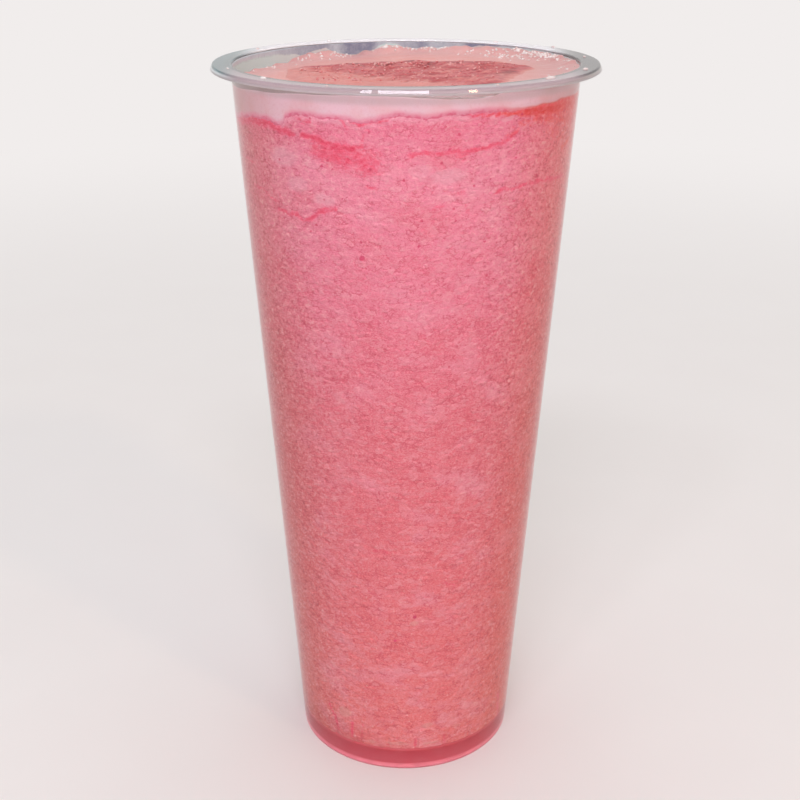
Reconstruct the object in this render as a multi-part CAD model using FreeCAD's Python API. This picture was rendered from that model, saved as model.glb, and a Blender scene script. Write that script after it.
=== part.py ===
# A tall clear drinking cup, injection moulded in polypropylene, filled to just under its rim with
# blended slush that carries a collar of froth.
#
# Frame: millimetres, +Z up. The origin is the centre of the foot ring, on the table.
# Nodes: cup (the moulded cup), slush (the icy drink) and froth (the pale layer on the drink,
# thin over the middle, where the slush stands through it).
import FreeCAD, Part
import math
import os

# ---- Cup: driving sizes ----
cup_height = 187.0
rim_diameter = 95.0          # over the down-turned lip
flange_overhang = 4.9        # how far the rim stands out past the wall
foot_diameter = 59.0         # outside of the wall, at the table
wall = 0.5

# Rim: a flat flange with a lip turned down round it, hollow underneath
flange_thickness = 0.7
lip_drop = 1.4               # from the top of the rim to the lip's lower edge
lip_thickness = 0.7
rim_crown_radius = 0.75      # rounding of the rim's outer top edge
mouth_radius = 0.45          # rounding where the flange turns into the wall
flange_root_radius = 0.5     # rounding under the flange

# Base: the floor stands clear of the table on a skirt with a thicker foot
recess_depth = 6.2           # table to the underside of the floor
floor_thickness = 0.8
foot_thickness = 1.5
foot_rounding = 0.45
floor_corner_radius = 1.6    # inside, between floor and wall
recess_corner_radius = 0.8
gate_radius = 2.2            # moulding gate, a low button under the floor
gate_height = 0.5

# Stacking ribs: short upright ribs on the inside of the wall, just above the floor
rib_count = 24
rib_height = 3.6
rib_width = 0.8
rib_proud = 0.45             # how far a rib stands out of the wall
rib_phase = 6.0              # degrees, of the first rib from the front

# ---- Drink: driving sizes, measured down from the top of the rim ----
froth_drop = 2.9             # mean level of the froth's upper surface
froth_tilt = 0.9             # how far the froth lies higher at the right wall than in the middle
froth_cling = 1.5            # how far the froth climbs the wall
froth_band = 3.6             # mean height of the froth that shows through the wall
crown_rise = 0.8             # how far the slush stands above the froth in the middle
crown_share = 0.51           # where the slush starts to fall away, over the radius of the mouth
field_points = 33            # grid points along each side of the drink's uneven surfaces
field_margin = 3.0           # how far those surfaces run past the wall

# ---- Worked out ----
rim_radius = rim_diameter / 2
shoulder_radius = rim_radius - flange_overhang
foot_radius = foot_diameter / 2
flange_underside = cup_height - flange_thickness
lip_bottom = cup_height - lip_drop
floor_top = recess_depth + floor_thickness
taper = (shoulder_radius - foot_radius) / flange_underside
mouth_inner_radius = shoulder_radius + taper * flange_thickness - wall


def wall_outside(z):
    """Radius of the wall's outer surface at height z."""
    return foot_radius + taper * z


def wall_inside(z):
    """Radius of the wall's inner surface at height z."""
    return wall_outside(z) - wall


def rounded_outline(corners):
    """Closed wire in the XZ plane through (radius, height, rounding) corners, each one rounded by a
    tangent arc."""
    points = [FreeCAD.Vector(r, 0, z) for r, z, rounding in corners]
    edges = []
    ends = []
    for i, (r, z, rounding) in enumerate(corners):
        here = points[i]
        back = points[i - 1] - here
        ahead = points[(i + 1) % len(points)] - here
        if rounding == 0:
            ends.append((here, here))
            continue
        half = back.getAngle(ahead) / 2
        reach = rounding / math.tan(half)
        back.normalize()
        ahead.normalize()
        start = here + back * reach
        end = here + ahead * reach
        bisector = (back + ahead).normalize()
        middle = here + bisector * (rounding / math.sin(half) - rounding)
        edges.append((i, Part.Arc(start, middle, end).toShape()))
        ends.append((start, end))
    arcs = dict(edges)
    ordered = []
    for i in range(len(corners)):
        if i in arcs:
            ordered.append(arcs[i])
        start = ends[i][1]
        end = ends[(i + 1) % len(corners)][0]
        if (end - start).Length > 1e-6:
            ordered.append(Part.makeLine(start, end))
    return Part.Wire(ordered)


def turned(corners):
    """Solid of revolution of a rounded outline about the Z axis."""
    face = Part.Face(rounded_outline(corners))
    solid = face.revolve(FreeCAD.Vector(0, 0, 0), FreeCAD.Vector(0, 0, 1), 360)
    if solid.Volume < 0:
        solid.reverse()
    return solid


def cup_shell():
    """The cup without its ribs: foot, wall, flange, lip and raised floor as one turned profile."""
    lip_inside = rim_radius - lip_thickness
    edge = foot_rounding / 2
    return turned([
        (foot_radius, 0, foot_rounding),
        (shoulder_radius, flange_underside, flange_root_radius),
        (lip_inside, flange_underside, edge),
        (lip_inside, lip_bottom, edge),
        (rim_radius, lip_bottom, edge),
        (rim_radius, cup_height, rim_crown_radius),
        (mouth_inner_radius, cup_height, mouth_radius),
        (wall_inside(floor_top), floor_top, floor_corner_radius),
        (0, floor_top, 0),
        (0, recess_depth - gate_height, 0),
        (gate_radius, recess_depth - gate_height, gate_height / 3),
        (gate_radius, recess_depth, gate_height / 3),
        (wall_inside(recess_depth), recess_depth, recess_corner_radius),
        (foot_radius - foot_thickness, 0, edge),
    ])


def cavity():
    """The whole inside of the cup, from the floor to the rim."""
    return turned([
        (mouth_inner_radius, cup_height, 0),
        (wall_inside(floor_top), floor_top, floor_corner_radius),
        (0, floor_top, 0),
        (0, cup_height, 0),
    ])


def stacking_rib():
    """One rib at the front of the wall: an upright bar with a sloped top, rooted in the wall."""
    low = floor_top - floor_thickness / 2
    high = floor_top + rib_height
    outline = Part.makePolygon([
        FreeCAD.Vector(wall_inside(low) + wall / 2, -rib_width / 2, low),
        FreeCAD.Vector(wall_inside(low) - floor_corner_radius, -rib_width / 2, low),
        FreeCAD.Vector(wall_inside(low) - floor_corner_radius, -rib_width / 2, floor_top),
        FreeCAD.Vector(wall_inside(high) - rib_proud, -rib_width / 2, floor_top + floor_corner_radius),
        FreeCAD.Vector(wall_inside(high) - rib_proud, -rib_width / 2, high - rib_proud),
        FreeCAD.Vector(wall_inside(high) + wall / 2, -rib_width / 2, high),
        FreeCAD.Vector(wall_inside(low) + wall / 2, -rib_width / 2, low),
    ])
    return Part.Face(outline).extrude(FreeCAD.Vector(0, rib_width, 0))


def stacking_ribs():
    """All the ribs, evenly round the wall."""
    ribs = []
    for i in range(rib_count):
        rib = stacking_rib()
        angle = -90 + rib_phase + i * 360 / rib_count
        rib.rotate(FreeCAD.Vector(0, 0, 0), FreeCAD.Vector(0, 0, 1), angle)
        ribs.append(rib)
    return ribs


def blend(value, low, high):
    """Smooth step from 0 at low to 1 at high."""
    share = min(1, max(0, (value - low) / (high - low)))
    return share * share * (3 - 2 * share)


def froth_level(x):
    """Mean height of the froth: a little higher towards the right."""
    return cup_height - froth_drop + froth_tilt * x / mouth_inner_radius


def froth_top(x, y):
    """Height of the froth's upper surface: nearly level, with a cling that climbs the wall unevenly."""
    share = math.hypot(x, y) / mouth_inner_radius
    angle = math.atan2(y, x)
    uneven = 0.45 + 0.35 * math.cos(angle) + 0.15 * math.sin(3 * angle + 0.8)
    ripple = 0.16 * math.sin(0.17 * x + 0.9) * math.cos(0.21 * y - 0.4)
    return froth_level(x) + froth_cling * uneven * blend(share, 0.80, 1.0) + ripple


def froth_line(angle):
    """Height at which froth gives way to slush behind the wall: deepest at the left, with waves."""
    waves = 0.45 * math.sin(3 * angle + 0.6) + 0.35 * math.sin(5 * angle - 1.1)
    return cup_height - froth_drop - froth_band + 1.5 * math.cos(angle) + waves


def slush_top(x, y):
    """Height of the slush under the froth. It stands through the froth in the middle as a ridged
    crown, wider across than from front to back."""
    angle = math.atan2(y, x)
    lobes = 0.13 * math.cos(2 * angle) + 0.035 * math.sin(5 * angle)
    share = math.hypot(x, y) / mouth_inner_radius
    ridges = 0.35 * math.sin(0.33 * y + 0.9 * math.sin(0.11 * x)) * math.cos(0.16 * x + 0.5)
    crown = froth_level(x) + crown_rise + ridges
    low = froth_line(angle)
    return crown + (low - crown) * blend(share, crown_share + lobes, 1.0)


def below(height):
    """Block of space under the surface z = height(x, y), wider than the mouth."""
    half = mouth_inner_radius + field_margin
    step = 2 * half / (field_points - 1)
    grid = []
    for i in range(field_points):
        x = -half + i * step
        row = [FreeCAD.Vector(x, -half + j * step, height(x, -half + j * step)) for j in range(field_points)]
        grid.append(row)
    surface = Part.BSplineSurface()
    surface.interpolate(grid)
    return surface.toShape().extrude(FreeCAD.Vector(0, 0, -cup_height))


def build():
    ribs = stacking_ribs()
    cup = cup_shell().fuse(ribs).removeSplitter()
    inside = cavity()
    slush = inside.common(below(slush_top))
    froth = inside.common(below(froth_top)).cut(slush)
    return {"cup": cup, "slush": slush.cut(ribs), "froth": froth}


os.makedirs("parts", exist_ok=True)
for name, shape in build().items():
    solids = shape.Solids
    print(name, "solids", len(solids), "valid", shape.isValid(), "volume ml", round(shape.Volume / 1000, 2))
    shape.exportStep(os.path.join("parts", name + ".step"))
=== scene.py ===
"""A tall clear polypropylene cup, filled almost to the brim with pink blended slush under a pale
collar of froth.

The cup is turned again here from the frame's own sizes, so that its small radii are smooth and catch
the light in one piece. The slush and the froth lie a little into the wall, so that no air shows
between drink and plastic. Lengths are in metres, +Z is up, and -Y is the front.
"""
import math
import random

import bmesh
import bpy
import numpy as np
from mathutils import Matrix, Vector, noise


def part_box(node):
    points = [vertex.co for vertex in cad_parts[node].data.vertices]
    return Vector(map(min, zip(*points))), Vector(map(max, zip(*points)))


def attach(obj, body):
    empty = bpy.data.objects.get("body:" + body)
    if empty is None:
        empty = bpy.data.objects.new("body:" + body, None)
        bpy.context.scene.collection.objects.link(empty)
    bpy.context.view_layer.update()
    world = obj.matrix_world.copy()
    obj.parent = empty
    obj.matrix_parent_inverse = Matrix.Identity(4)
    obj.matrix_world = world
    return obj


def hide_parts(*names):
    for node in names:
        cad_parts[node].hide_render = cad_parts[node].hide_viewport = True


MM = 0.001

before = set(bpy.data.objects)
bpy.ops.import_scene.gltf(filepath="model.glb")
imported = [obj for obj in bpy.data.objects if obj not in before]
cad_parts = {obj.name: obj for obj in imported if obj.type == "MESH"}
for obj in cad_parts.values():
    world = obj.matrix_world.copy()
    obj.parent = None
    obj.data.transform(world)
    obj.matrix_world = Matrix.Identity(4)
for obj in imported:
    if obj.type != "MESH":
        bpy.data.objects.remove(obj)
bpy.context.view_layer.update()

# ---- Cup sizes, as in the frame ----
cup_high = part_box("cup")[1]
cup_height = cup_high.z
rim_radius = cup_high.x
flange_overhang = 4.9 * MM
flange_thickness = 0.7 * MM
foot_radius = 29.5 * MM
wall = 0.5 * MM
foot_thickness = 1.5 * MM
recess_depth = 6.2 * MM      # table to the underside of the floor
floor_top = 7.0 * MM
gate_radius = 2.2 * MM
gate_height = 0.5 * MM
lip_drop = 1.4 * MM
lip_thickness = 0.7 * MM
lip_slope = 0.66 * MM        # how far the lip leans in from its lower edge to the top of the rim
rib_count = 24
rib_height = 3.6 * MM
rib_width = 0.8 * MM
rib_proud = 0.45 * MM
rib_phase = math.radians(6.0)

# Roundings
foot_rounding = 0.45 * MM
floor_rounding = 1.6 * MM
recess_rounding = 0.8 * MM
root_rounding = 0.5 * MM     # under the flange
lip_rounding = 0.22 * MM
rim_rounding = 0.4 * MM
mouth_rounding = 0.45 * MM

shoulder_radius = rim_radius - flange_overhang
taper = (shoulder_radius - foot_radius) / (cup_height - flange_thickness)
mouth_inner_radius = foot_radius + taper * cup_height - wall

# ---- Drink sizes ----
froth_drop = 2.9 * MM        # froth's mean level under the top of the rim
froth_tilt = 0.9 * MM        # rise of that level from the middle to the right wall
crown_rise = 0.7 * MM        # slush standing above the froth in the middle
slush_reach = 0.08 * MM      # how far the hollows between the crumbs run into the wall
crumb_relief = 0.28 * MM     # how far the crumbs stand out from those hollows
froth_reach = 0.30 * MM      # the froth lies outside the slush, so it runs in further
smear_inset = 0.03 * MM      # middle of the wet film above the froth, inside the wall

# Heights at which the froth meets the wall, under the top of the rim: (degrees, millimetres).
# -90 is the front, 0 the right, 90 the back.
FROTH_CONTACT = [
    (-180, 4.3), (-160, 4.2), (-140, 3.4), (-120, 2.6), (-104, 2.1), (-92, 2.2), (-84, 2.6), (-76, 2.95),
    (-68, 3.05), (-63, 2.7), (-58, 1.6), (-50, 1.1), (-30, 0.9), (0, 0.8), (30, 0.8), (48, 0.9),
    (60, 1.1), (70, 1.3), (78, 1.8), (85, 2.1), (90, 1.9), (94, 1.4), (99, 1.6), (104, 2.6),
    (110, 3.7), (114, 3.2), (118, 2.4), (123, 2.2), (128, 2.3), (133, 3.0), (140, 4.1), (150, 4.4),
    (180, 4.3),
]
# Heights at which froth gives way to slush behind the wall: (degrees, millimetres above the table).
FROTH_LINE = [
    (-180, 175.9), (-164, 175.1), (-156, 175.9), (-146, 177.0), (-138, 176.9), (-134, 176.4),
    (-131.4, 176.8), (-129.7, 178.3), (-126.5, 179.2), (-118.6, 179.2), (-113.5, 179.1),
    (-108, 178.9), (-104, 178.3), (-100.2, 179.0), (-96.5, 179.6), (-92, 180.2), (-84.9, 179.7),
    (-74.5, 180.2), (-67, 180.6), (-57, 180.2), (-50, 180.2), (-42, 180.5), (-31, 180.7),
    (-15, 180.5), (0, 180.4), (25, 180.3), (50, 179.5), (80, 178.6), (110, 178.9), (140, 177.0),
    (160, 176.4), (180, 175.9),
]


# ---- Heights and patterns ----
def smooth(value, low, high):
    """Smooth step from 0 at low to 1 at high."""
    share = np.clip((value - low) / (high - low), 0, 1)
    return share * share * (3 - 2 * share)


def round_the_cup(table, angle):
    """Value of a (degrees, value) table at an angle in radians, eased between its entries."""
    degrees = np.degrees(angle)
    stops, values = np.array(table, float).T
    after = np.clip(np.searchsorted(stops, degrees, side="right"), 1, len(stops) - 1)
    share = smooth(degrees, stops[after - 1], stops[after])
    return values[after - 1] + (values[after] - values[after - 1]) * share


def lumps(x, y, size, seed):
    """Smooth random heights from -1 to 1, with bumps about `size` across."""
    count = 97
    lattice = np.random.default_rng(seed).uniform(-1, 1, (count, count))
    u, v = x / size + count // 2, y / size + count // 2
    i, j = np.floor(u).astype(int), np.floor(v).astype(int)
    across, along = smooth(u - i, 0, 1), smooth(v - j, 0, 1)
    i0, i1, j0, j1 = i % count, (i + 1) % count, j % count, (j + 1) % count
    low = lattice[i0, j0] * (1 - across) + lattice[i1, j0] * across
    high = lattice[i0, j1] * (1 - across) + lattice[i1, j1] * across
    return low * (1 - along) + high * along


def crumbs_on_wall(angle, z, across, tall, seed):
    """Crumb-shaped relief on the wall, from 0 in the cracks to 1 on the crumbs, closed round the cup:
    the crumbs are cells about `across` wide and `tall` high, round-shouldered and of uneven height."""
    mean_radius = 36 * MM
    columns, rows = round(math.tau * mean_radius / across), 400
    rng = np.random.default_rng(seed)
    offset = rng.uniform(0.1, 0.9, (2, columns, rows))
    height = rng.uniform(0.25, 1.0, (columns, rows))
    u = (angle / math.tau + 0.5) * columns
    v = z / tall
    i, j = np.floor(u).astype(int), np.floor(v).astype(int)
    nearest = np.full(len(u), 9.0)
    second = nearest.copy()
    own = np.zeros(len(u))
    for di in (-1, 0, 1):
        for dj in (-1, 0, 1):
            a, b = (i + di) % columns, (j + dj) % rows
            distance = np.hypot(i + di + offset[0, a, b] - u, j + dj + offset[1, a, b] - v)
            closer = distance < nearest
            second = np.where(closer, nearest, np.minimum(second, distance))
            own = np.where(closer, height[a, b], own)
            nearest = np.where(closer, distance, nearest)
    return own * smooth(second - nearest, 0.0, 0.45)


def wall_inside(z):
    """Radius of the cup's inner surface at height z."""
    return foot_radius + taper * z - wall


def froth_level(x):
    """Mean height of the froth, a little higher towards the right."""
    return cup_height - froth_drop + froth_tilt * x / mouth_inner_radius


def froth_top(x, y):
    """Height of the froth's surface: flat in the middle, then up or down to its contact line."""
    share = np.hypot(x, y) / mouth_inner_radius
    angle = np.arctan2(y, x)
    beads = 0.16 * np.sin(29 * angle + 0.7) + 0.12 * np.sin(47 * angle) + 0.08 * np.sin(83 * angle + 1.9)
    contact = cup_height - (round_the_cup(FROTH_CONTACT, angle) + beads * (angle > 0)) * MM
    middle = froth_level(x) + 0.16 * MM * np.sin(170 * x + 0.9) * np.cos(210 * y - 0.4)
    soft = 0.14 * MM * lumps(x, y, 5.0 * MM, 3) + 0.07 * MM * lumps(x, y, 1.8 * MM, 4)
    climb = smooth(share, 0.80, 1.0) ** 2
    return middle + (contact - middle) * climb + soft * (1 - climb)


def froth_contact(angle):
    """Height at which the froth's surface meets the wall."""
    return froth_top(*xy(angle, mouth_inner_radius))


def froth_line(angle):
    """Height at which froth gives way to slush behind the wall."""
    waves = 0.10 * np.sin(23 * angle + 1.0) + 0.07 * np.sin(41 * angle) + 0.05 * np.sin(67 * angle + 2.0)
    return (round_the_cup(FROTH_LINE, angle) + waves) * MM


def coral_side(angle, start):
    """Share of the side where warm syrup lies under the froth, from `start` in front, round by the
    right, to the back."""
    return smooth(angle, start, start + 0.40) * (1 - smooth(angle, 0.3, 0.9))


def crown_share(angle):
    """Where the crown of slush starts to fall under the froth, as a share of the mouth's radius: wider
    across than from front to back, and drawn out at the front right."""
    return (0.54 + 0.12 * np.cos(2 * angle) + 0.035 * np.sin(5 * angle) - 0.05 * np.sin(angle)
            + 0.02 * np.sin(9 * angle + 1.0) + 0.015 * np.sin(14 * angle)
            + 0.19 * np.exp(-((angle + 1.22) / 0.40) ** 2))


def slush_top(x, y):
    """Height of the slush: a crown in the middle, which falls away under the froth."""
    angle = np.arctan2(y, x)
    share = np.hypot(x, y) / mouth_inner_radius
    crown = froth_level(x) + crown_rise
    return crown + (froth_line(angle) - crown) * smooth(share, crown_share(angle), 1.0)


# ---- Mesh helpers ----
def rounded(corners, steps=6, guard=0.3 * MM):
    """Outline through (radius, height, rounding) corners, each one rounded by an arc. A guard point
    beside each arc keeps its shading off the long straight runs."""
    spots = [Vector(corner[:2]) for corner in corners]
    outline = []
    for i, (radius, height, rounding) in enumerate(corners):
        here, before, after = spots[i], spots[i - 1], spots[(i + 1) % len(spots)]
        if rounding == 0:
            outline.append((radius, height))
            continue
        back, ahead = (before - here).normalized(), (after - here).normalized()
        half = back.angle(ahead) / 2
        centre = here + (back + ahead).normalized() * (rounding / math.sin(half))
        start = here + back * (rounding / math.tan(half))
        end = here + ahead * (rounding / math.tan(half))
        if (before - start).length > 3 * guard:
            outline.append(tuple(start + back * guard))
        first, last = (start - centre).normalized(), (end - centre).normalized()
        outline += [tuple(centre + first.slerp(last, k / steps) * rounding) for k in range(steps + 1)]
        if (after - end).length > 3 * guard:
            outline.append(tuple(end + ahead * guard))
    return outline


def turned(name, profile, steps):
    """Closed mesh of revolution from a profile of (radius, height) points whose ends lie on the axis
    or meet: a grid rolled up round Z, its seam and poles welded."""
    bm = bmesh.new()
    rows = len(profile) - 1
    bmesh.ops.create_grid(bm, x_segments=steps, y_segments=rows, size=1.0)
    border = [v for v in bm.verts if v.is_boundary]
    for v in bm.verts:
        angle = (v.co.x + 1) * math.pi
        radius, height = profile[round((v.co.y + 1) / 2 * rows)]
        v.co = (radius * math.cos(angle), radius * math.sin(angle), height)
    bmesh.ops.remove_doubles(bm, verts=border, dist=1e-5)
    bmesh.ops.recalc_face_normals(bm, faces=bm.faces)
    return finished(name, bm)


def finished(name, bm, smooth_faces=True):
    """Object of a bmesh, at the origin."""
    mesh = bpy.data.meshes.new(name)
    bm.to_mesh(mesh)
    bm.free()
    for face in mesh.polygons:
        face.use_smooth = smooth_faces
    piece = bpy.data.objects.new(name, mesh)
    bpy.context.scene.collection.objects.link(piece)
    return piece


def scattered(name, shape, places, smooth_faces=True):
    """One piece made of a small bmesh shape, one unit across, set at each (place, turn, size)."""
    unit = bpy.data.meshes.new(name)
    shape.to_mesh(unit)
    shape.free()
    bm = bmesh.new()
    for place, turn, size in places:
        copy = unit.copy()
        scale = Matrix.Diagonal((*size, 1))
        copy.transform(Matrix.Translation(place) @ Matrix.Rotation(turn, 4, "Z") @ scale)
        bm.from_mesh(copy)
        bpy.data.meshes.remove(copy)
    bpy.data.meshes.remove(unit)
    return finished(name, bm, smooth_faces)


def ball(segments, rings):
    """Bmesh ball one unit across."""
    bm = bmesh.new()
    bmesh.ops.create_uvsphere(bm, u_segments=segments, v_segments=rings, radius=0.5)
    return bm


def xy(angle, radius):
    """X and Y at an angle and a distance from the axis."""
    return radius * np.cos(angle), radius * np.sin(angle)


def polar(piece):
    """Angle, distance from the axis and height of a piece's vertices."""
    flat = np.zeros(len(piece.data.vertices) * 3)
    piece.data.vertices.foreach_get("co", flat)
    x, y, z = flat.reshape(-1, 3).T
    return np.arctan2(y, x), np.hypot(x, y), z


def move_to(piece, x, y, z):
    """Moves a piece's vertices to new places."""
    piece.data.vertices.foreach_set("co", np.column_stack((x, y, z)).reshape(-1))
    piece.data.update()


def sharpen(piece, on_ring):
    """Keeps an edge between two ring vertices crisp, so that shading doesn't roll over it."""
    crisp = piece.data.attributes.new("sharp_edge", "BOOLEAN", "EDGE")
    ends = np.zeros(len(piece.data.edges) * 2, int)
    piece.data.edges.foreach_get("vertices", ends)
    crisp.data.foreach_set("value", on_ring[ends.reshape(-1, 2)].all(axis=1))


def set_shares(piece, **shares):
    """Keeps numbers for each vertex, by name, for the piece's material."""
    for name, values in shares.items():
        layer = piece.data.attributes.new(name, "FLOAT", "POINT")
        layer.data.foreach_set("value", np.asarray(values, np.float32))


# ---- Node helpers ----
def srgb(hex_colour):
    """Linear RGBA of a colour written as sRGB hex."""
    values = [int(hex_colour[i:i + 2], 16) / 255 for i in (1, 3, 5)]
    linear = [v / 12.92 if v <= 0.04045 else ((v + 0.055) / 1.055) ** 2.4 for v in values]
    return (*linear, 1.0)


def add(tree, kind, inputs=None, **settings):
    """Adds a node with its settings, and sets or links its inputs. A node among them is linked from
    its first output in use, and a hex colour is turned to linear."""
    made = tree.nodes.new("ShaderNode" + kind)
    for key, value in settings.items():
        setattr(made, key, value)
    for socket, value in (inputs or {}).items():
        if isinstance(value, bpy.types.Node):
            value = next(output for output in value.outputs if output.enabled)
        if isinstance(value, bpy.types.NodeSocket):
            tree.links.new(value, made.inputs[socket])
        else:
            made.inputs[socket].default_value = srgb(value) if isinstance(value, str) else value
    return made


def material(fill):
    """Material named as the function that fills its node tree and returns its surface."""
    made = bpy.data.materials.new(fill.__name__)
    made.use_nodes = True
    made.node_tree.nodes.clear()
    add(made.node_tree, "OutputMaterial", {"Surface": fill(made.node_tree)})
    return made


def share(tree, *steps):
    """How much of a layer shows: the product of its steps. A step is a share that is ready, or
    (pattern, start, full, most, least): least where the pattern is at start and most where it is at
    full, eased between. Most is 1 and least is 0 where they are left out."""
    product = None
    for step in steps:
        if isinstance(step, tuple):
            pattern, start, full, *limits = step
            most, least = limits + [1.0, 0.0][len(limits):]
            step = add(tree, "MapRange", {
                "Value": pattern, "From Min": start, "From Max": full, "To Min": least, "To Max": most},
                interpolation_type="SMOOTHSTEP")
        if product is None:
            product = step
        else:
            product = add(tree, "Math", {0: product, 1: step}, operation="MULTIPLY")
    return product


def layered(tree, colour, *layers, blend_type="MIX"):
    """Lays colours over a base colour, one after the other. A layer is its colour and then the steps
    of its share."""
    for over, *steps in layers:
        colour = add(tree, "Mix", {"Factor": share(tree, *steps), 6: colour, 7: over},
                     data_type="RGBA", blend_type=blend_type)
    return colour


def frayed(tree, edge, grain, depth):
    """A share whose edge is frayed by a noise, by up to half its depth either way."""
    centred = add(tree, "Math", {0: grain, 1: 0.5}, operation="SUBTRACT")
    return add(tree, "Math", {0: centred, 1: depth, 2: edge}, operation="MULTIPLY_ADD")


def shares_kept(tree, *names):
    """The numbers that a piece keeps for each vertex, by name."""
    return [add(tree, "Attribute", attribute_name=name).outputs["Fac"] for name in names]


def position(tree):
    """X, Y and Z of a point of the piece, and its distance from the cup's axis."""
    place = add(tree, "TexCoord").outputs["Object"]
    parts = add(tree, "SeparateXYZ", {"Vector": place})
    flat = add(tree, "VectorMath", {0: place, 1: (1, 1, 0)}, operation="MULTIPLY")
    return (*parts.outputs, add(tree, "VectorMath", {0: flat}, operation="LENGTH"))


def millimetres(tree, squeeze=(1, 1, 1)):
    """Object coordinates in millimetres, squeezed along each axis to make a pattern lie flat."""
    place = add(tree, "TexCoord").outputs["Object"]
    return add(tree, "Mapping", {"Vector": place, "Scale": [s / MM for s in squeeze]})


def by_height(tree, z, top, colours):
    """Colours that follow the height z, from (share of top, hex) entries, and that share itself."""
    rise = add(tree, "MapRange", {"Value": z, "From Max": top})
    made = add(tree, "ValToRGB", {"Fac": rise})
    elements = made.color_ramp.elements
    while len(elements) > 1:
        elements.remove(elements[-1])
    elements[0].position = colours[0][0]
    elements[0].color = srgb(colours[0][1])
    for place, colour in colours[1:]:
        elements.new(place).color = srgb(colour)
    return made, rise


def lamp_lit(tree, surface, lamp_colour="#FFFFFF"):
    """Lets the lamps' light through a surface, coloured by it, so that the drink inside is lit."""
    through = add(tree, "BsdfTransparent", {"Color": lamp_colour})
    rays = add(tree, "LightPath")
    return add(tree, "MixShader", {0: rays.outputs["Is Shadow Ray"], 1: surface, 2: through})


def seen_directly(tree):
    """1 for rays that come from the eye, straight or by way of gloss or glass."""
    rays = add(tree, "LightPath")
    direct = add(tree, "Math", {0: rays.outputs["Is Camera Ray"], 1: rays.outputs["Is Glossy Ray"]},
                 operation="ADD")
    return add(tree, "Math", {0: direct, 1: rays.outputs["Is Transmission Ray"]}, operation="ADD",
               use_clamp=True)


# ---- Materials ----
SLUSH_BY_HEIGHT = [
    (0.00, "#F08280"), (0.10, "#EE8081"), (0.30, "#EB7B82"), (0.55, "#E87A87"), (0.75, "#EE859C"),
    (0.90, "#F393AB"), (0.97, "#F07E9B"),
]


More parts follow.
